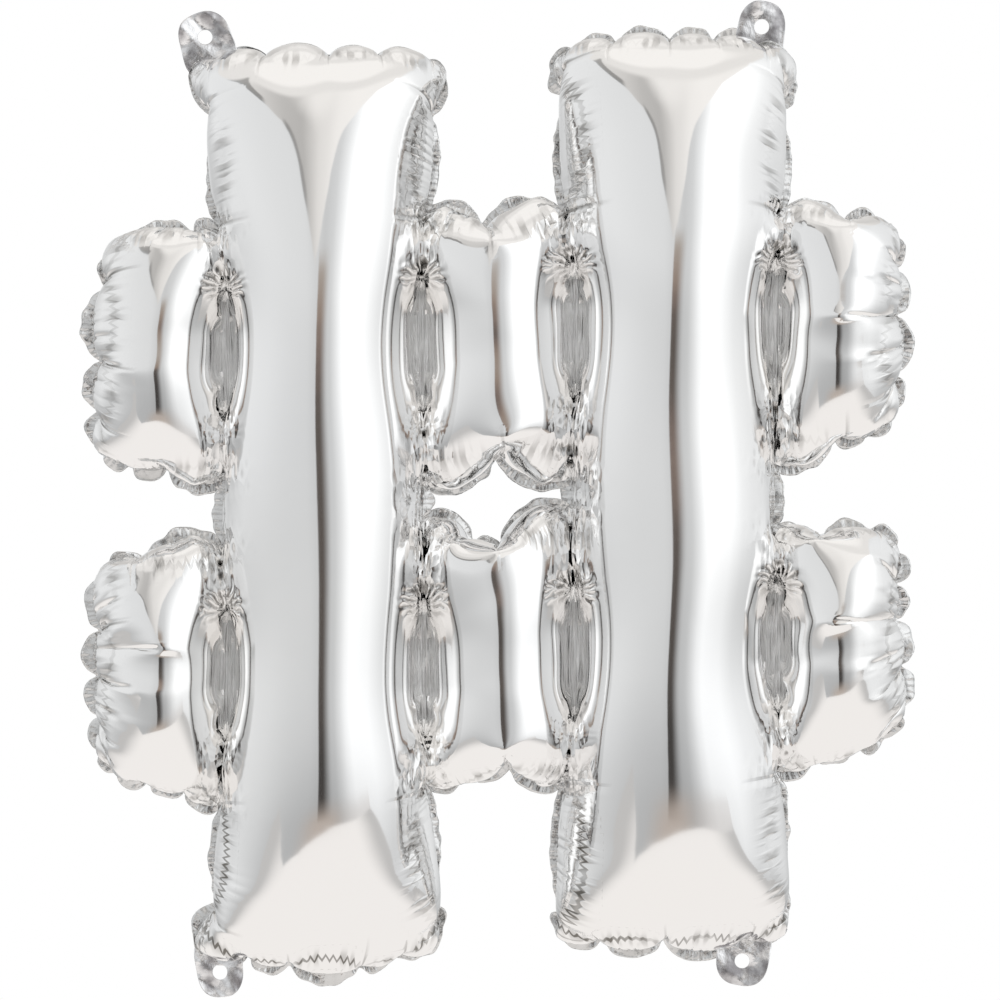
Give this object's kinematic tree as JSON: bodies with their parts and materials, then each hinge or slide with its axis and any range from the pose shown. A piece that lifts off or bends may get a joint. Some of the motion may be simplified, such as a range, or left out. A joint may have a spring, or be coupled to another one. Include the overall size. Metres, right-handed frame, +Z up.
{
  "type": "foil balloon",
  "caption": "Air-filled foil balloon in the shape of a hash sign, with scalloped sealed edges, lens-shaped welds and punched hanging tabs.",
  "frame": {"origin": "on the seam's plane, midway between the two uprights and level with the holes in the two upper tabs", "axes": "+Z up along the uprights, +X to the right as seen from the front, and the front faces -Y"},
  "size_m": [0.3211, 0.0788, 0.3926],
  "materials": {
    "film": "mirror-bright silver metallised film, blown tight with fine radial wrinkles at its edges",
    "seam": "crinkled silver margin of two sheets sealed together",
    "weld": "puckered silver weld line, duller than the blown film",
    "tab": "soft satin silver tab of sealed film"
  },
  "bodies": {
    "root": {"left_upright_front": "film", "left_upright_back": "film", "right_upright_front": "film", "right_upright_back": "film", "upper_left_arm_front": "film", "upper_left_arm_back": "film", "lower_left_arm_front": "film", "lower_left_arm_back": "film", "upper_right_arm_front": "film", "upper_right_arm_back": "film", "lower_right_arm_front": "film", "lower_right_arm_back": "film", "upper_bridge_front": "film", "upper_bridge_back": "film", "lower_bridge_front": "film", "lower_bridge_back": "film", "seam_left_upright_top": "seam", "seam_left_upper_arm": "seam", "seam_left_gap": "seam", "seam_left_lower_arm": "seam", "seam_left_upright_bottom": "seam", "seam_right_upright_top": "seam", "seam_right_upper_arm": "seam", "seam_right_gap": "seam", "seam_right_lower_arm": "seam", "seam_right_upright_bottom": "seam", "seam_upper_bridge": "seam", "seam_lower_bridge": "seam", "seam_window_top": "seam", "seam_window_left": "seam", "seam_window_bottom": "seam", "seam_window_right": "seam", "weld_left_outer_upper": "weld", "weld_left_outer_lower": "weld", "weld_left_inner_upper": "weld", "weld_left_inner_lower": "weld", "weld_right_outer_upper": "weld", "weld_right_outer_lower": "weld", "weld_right_inner_upper": "weld", "weld_right_inner_lower": "weld", "upper_left_tab": "tab", "upper_right_tab": "tab", "lower_left_tab": "tab", "lower_right_tab": "tab"}
  },
  "joints": []
}
